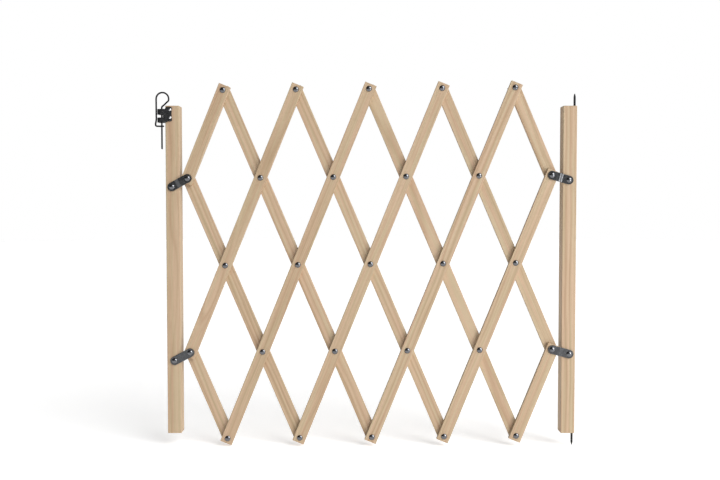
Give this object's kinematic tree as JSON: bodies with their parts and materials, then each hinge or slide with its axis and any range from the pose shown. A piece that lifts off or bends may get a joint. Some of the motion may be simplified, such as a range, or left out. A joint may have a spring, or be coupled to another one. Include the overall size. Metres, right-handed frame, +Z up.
{
  "type": "expanding safety gate",
  "caption": "Expanding wooden scissor-lattice safety gate between two square posts, with strap links, hinge pins and a wire latch pin.",
  "frame": {"origin": "on the hinge pins' axis, level with the feet of the posts", "axes": "+X across the opening from the latch side to the hinge side, -Y the front, +Z up"},
  "size_m": [0.9655, 0.0399, 0.8403],
  "materials": {
    "beech": "clear-oiled beech, fine straight grain",
    "black_zinc": "satin black zinc-plated steel strip",
    "black_wire": "black spring wire and pins",
    "rivet_steel": "polished dark domed heads"
  },
  "bodies": {
    "hinge_pins": {"upper_hinge_pin": "black_wire", "lower_hinge_pin": "black_wire"},
    "right_post": {"right_post": "beech", "right_upper_strap_screw": "rivet_steel", "right_lower_strap_screw": "rivet_steel", "right_upper_strap": "black_zinc"},
    "right_lower_strap": {"right_lower_strap": "black_zinc"},
    "left_upper_strap": {"left_upper_strap": "black_zinc"},
    "left_post": {"left_post": "beech", "latch_bracket": "black_zinc", "latch_screw_upper": "rivet_steel", "latch_screw_lower": "rivet_steel", "left_upper_strap_screw": "rivet_steel", "left_lower_strap_screw": "rivet_steel"},
    "left_lower_strap": {"left_lower_strap": "black_zinc"},
    "latch_pin": {"latch_pin": "black_wire"},
    "slat_front_1": {"slat_front_1": "beech", "left_upper_strap_rivet": "rivet_steel", "rivet_row1_1": "rivet_steel"},
    "slat_back_1": {"slat_back_1": "beech"},
    "slat_front_2": {"slat_front_2": "beech", "left_lower_strap_rivet": "rivet_steel", "rivet_row3_1": "rivet_steel", "rivet_row2_1": "rivet_steel", "rivet_row1_2": "rivet_steel"},
    "slat_back_2": {"slat_back_2": "beech"},
    "slat_front_3": {"slat_front_3": "beech", "rivet_row5_1": "rivet_steel", "rivet_row4_1": "rivet_steel", "rivet_row3_2": "rivet_steel", "rivet_row2_2": "rivet_steel", "rivet_row1_3": "rivet_steel"},
    "slat_back_3": {"slat_back_3": "beech"},
    "slat_front_4": {"slat_front_4": "beech", "rivet_row5_2": "rivet_steel", "rivet_row4_2": "rivet_steel", "rivet_row3_3": "rivet_steel", "rivet_row2_3": "rivet_steel", "rivet_row1_4": "rivet_steel"},
    "slat_back_4": {"slat_back_4": "beech"},
    "slat_front_5": {"slat_front_5": "beech", "rivet_row5_3": "rivet_steel", "rivet_row4_3": "rivet_steel", "rivet_row3_4": "rivet_steel", "rivet_row2_4": "rivet_steel", "rivet_row1_5": "rivet_steel"},
    "slat_back_5": {"slat_back_5": "beech"},
    "slat_front_6": {"slat_front_6": "beech", "rivet_row5_4": "rivet_steel", "rivet_row4_4": "rivet_steel", "rivet_row3_5": "rivet_steel", "right_upper_strap_rivet": "rivet_steel"},
    "slat_back_6": {"slat_back_6": "beech"},
    "slat_front_7": {"slat_front_7": "beech", "rivet_row5_5": "rivet_steel", "right_lower_strap_rivet": "rivet_steel"},
    "slat_back_7": {"slat_back_7": "beech"}
  },
  "joints": [
    {"name": "gate_swing", "type": "hinge", "parent": "hinge_pins", "child": "right_post", "pos_m": [0, 0, 0], "axis": [0, 0, 1], "range_deg": [0, 90]},
    {"name": "lattice_fold", "type": "hinge", "parent": "right_post", "child": "slat_front_6", "pos_m": [-0.05226, 0.001, 0.59627], "axis": [0, -1, 0], "range_deg": [-2.4, 17.6]},
    {"name": "back_7_on_front_6", "type": "hinge", "parent": "slat_front_6", "child": "slat_back_7", "pos_m": [-0.05226, 0.001, 0.59627], "axis": [0, -1, 0], "range_deg": [-35.25, 4.85]},
    {"name": "back_6_on_front_6", "type": "hinge", "parent": "slat_front_6", "child": "slat_back_6", "pos_m": [-0.1339, 0.001, 0.39521], "axis": [0, -1, 0], "range_deg": [-35.25, 4.85]},
    {"name": "back_5_on_front_6", "type": "hinge", "parent": "slat_front_6", "child": "slat_back_5", "pos_m": [-0.21554, 0.001, 0.19415], "axis": [0, -1, 0], "range_deg": [-35.25, 4.85]},
    {"name": "back_4_on_front_6", "type": "hinge", "parent": "slat_front_6", "child": "slat_back_4", "pos_m": [-0.29718, 0.001, -0.0069], "axis": [0, -1, 0], "range_deg": [-35.25, 4.85]},
    {"name": "front_3_on_back_4", "type": "hinge", "parent": "slat_back_4", "child": "slat_front_3", "pos_m": [-0.55259, 0.001, 0.5919], "axis": [0, -1, 0], "range_deg": [-4.85, 35.25]},
    {"name": "front_4_on_back_4", "type": "hinge", "parent": "slat_back_4", "child": "slat_front_4", "pos_m": [-0.46745, 0.001, 0.3923], "axis": [0, -1, 0], "range_deg": [-4.85, 35.25]},
    {"name": "front_5_on_back_5", "type": "hinge", "parent": "slat_back_5", "child": "slat_front_5", "pos_m": [-0.30068, 0.001, 0.39376], "axis": [0, -1, 0], "range_deg": [-4.85, 35.25]},
    {"name": "front_7_on_back_5", "type": "hinge", "parent": "slat_back_5", "child": "slat_front_7", "pos_m": [-0.1304, 0.001, -0.00545], "axis": [0, -1, 0], "range_deg": [-4.85, 35.25]},
    {"name": "front_2_on_back_4", "type": "hinge", "parent": "slat_back_4", "child": "slat_front_2", "pos_m": [-0.63773, 0.001, 0.7915], "axis": [0, -1, 0], "range_deg": [-4.85, 35.25]},
    {"name": "back_3_on_front_3", "type": "hinge", "parent": "slat_front_3", "child": "slat_back_3", "pos_m": [-0.63423, 0.001, 0.39084], "axis": [0, -1, 0], "range_deg": [-35.25, 4.85]},
    {"name": "back_2_on_front_3", "type": "hinge", "parent": "slat_front_3", "child": "slat_back_2", "pos_m": [-0.71587, 0.001, 0.18979], "axis": [0, -1, 0], "range_deg": [-35.25, 4.85]},
    {"name": "back_1_on_front_3", "type": "hinge", "parent": "slat_front_3", "child": "slat_back_1", "pos_m": [-0.79751, 0.001, -0.01127], "axis": [0, -1, 0], "range_deg": [-35.25, 4.85]},
    {"name": "front_1_on_back_3", "type": "hinge", "parent": "slat_back_3", "child": "slat_front_1", "pos_m": [-0.80451, 0.001, 0.79005], "axis": [0, -1, 0], "range_deg": [-4.85, 35.25]},
    {"name": "left_upper_strap_on_lattice", "type": "hinge", "parent": "slat_front_1", "child": "left_upper_strap", "pos_m": [-0.88615, 0.001, 0.58899], "axis": [0, -1, 0], "range_deg": [-24.69, 3.41]},
    {"name": "left_post_on_upper_strap", "type": "hinge", "parent": "left_upper_strap", "child": "left_post", "pos_m": [-0.92235, 0.001, 0.56974], "axis": [0, -1, 0], "range_deg": [-1.01, 7.09]},
    {"name": "left_lower_strap_on_post", "type": "hinge", "parent": "left_post", "child": "left_lower_strap", "pos_m": [-0.91885, 0.001, 0.16908], "axis": [0, -1, 0], "range_deg": [-58.13, 7.97]},
    {"name": "right_lower_strap_on_post", "type": "hinge", "parent": "right_post", "child": "right_lower_strap", "pos_m": [-0.00925, 0.001, 0.18465], "axis": [0, -1, 0], "range_deg": [-6.41, 46.69]},
    {"name": "latch_pin_lift", "type": "slide", "parent": "left_post", "child": "latch_pin", "axis": [0, 0, 1], "range_m": [0, 0.08]}
  ],
  "couplings": [
    {"joint": "back_7_on_front_6", "follows": "lattice_fold", "ratio": -2},
    {"joint": "back_6_on_front_6", "follows": "lattice_fold", "ratio": -2},
    {"joint": "back_5_on_front_6", "follows": "lattice_fold", "ratio": -2},
    {"joint": "back_4_on_front_6", "follows": "lattice_fold", "ratio": -2},
    {"joint": "front_3_on_back_4", "follows": "lattice_fold", "ratio": 2},
    {"joint": "front_4_on_back_4", "follows": "lattice_fold", "ratio": 2},
    {"joint": "front_5_on_back_5", "follows": "lattice_fold", "ratio": 2},
    {"joint": "front_7_on_back_5", "follows": "lattice_fold", "ratio": 2},
    {"joint": "front_2_on_back_4", "follows": "lattice_fold", "ratio": 2},
    {"joint": "back_3_on_front_3", "follows": "lattice_fold", "ratio": -2},
    {"joint": "back_2_on_front_3", "follows": "lattice_fold", "ratio": -2},
    {"joint": "back_1_on_front_3", "follows": "lattice_fold", "ratio": -2},
    {"joint": "front_1_on_back_3", "follows": "lattice_fold", "ratio": 2},
    {"joint": "left_upper_strap_on_lattice", "follows": "lattice_fold", "ratio": -1.4},
    {"joint": "left_post_on_upper_strap", "follows": "lattice_fold", "ratio": 0.4},
    {"joint": "left_lower_strap_on_post", "follows": "lattice_fold", "ratio": -3.3},
    {"joint": "right_lower_strap_on_post", "follows": "lattice_fold", "ratio": 2.65}
  ]
}
